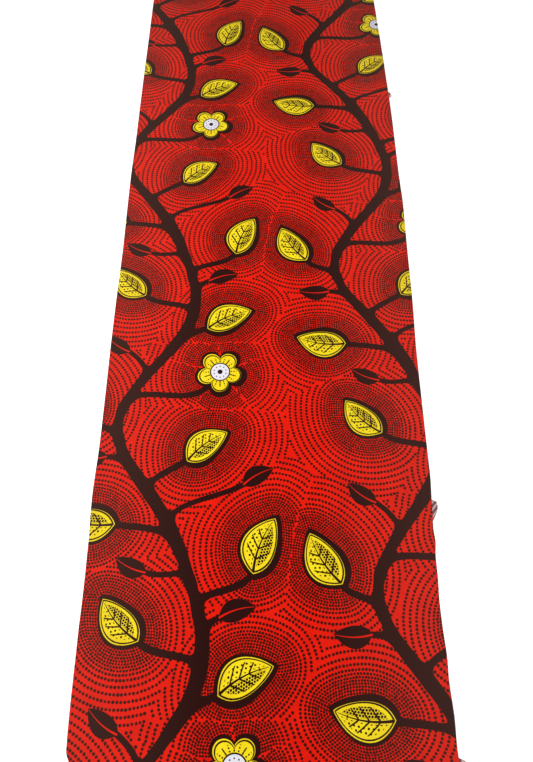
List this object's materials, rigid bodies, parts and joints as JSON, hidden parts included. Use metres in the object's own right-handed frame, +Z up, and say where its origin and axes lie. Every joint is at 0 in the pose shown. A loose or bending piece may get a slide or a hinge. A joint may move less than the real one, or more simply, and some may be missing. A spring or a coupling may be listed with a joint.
{
  "type": "folded length of printed cotton cloth",
  "caption": "Cut length of printed cotton folded along its length into a long flat strip, with a softly rippled face, rounded long folds and layered edges.",
  "frame": {"origin": "on the resting plane, under the middle of the strip", "axes": "+X across the strip, +Y along it from the near cut end to the far one, +Z up through the printed face"},
  "size_m": [0.5955, 1.83, 0.0075],
  "materials": {
    "printed_face": "matt printed cotton with a slight sheen",
    "hidden_layers": "matt cotton, paler than the face"
  },
  "bodies": {
    "root": {"face_layer": "printed_face", "under_layers": "hidden_layers"}
  },
  "joints": []
}
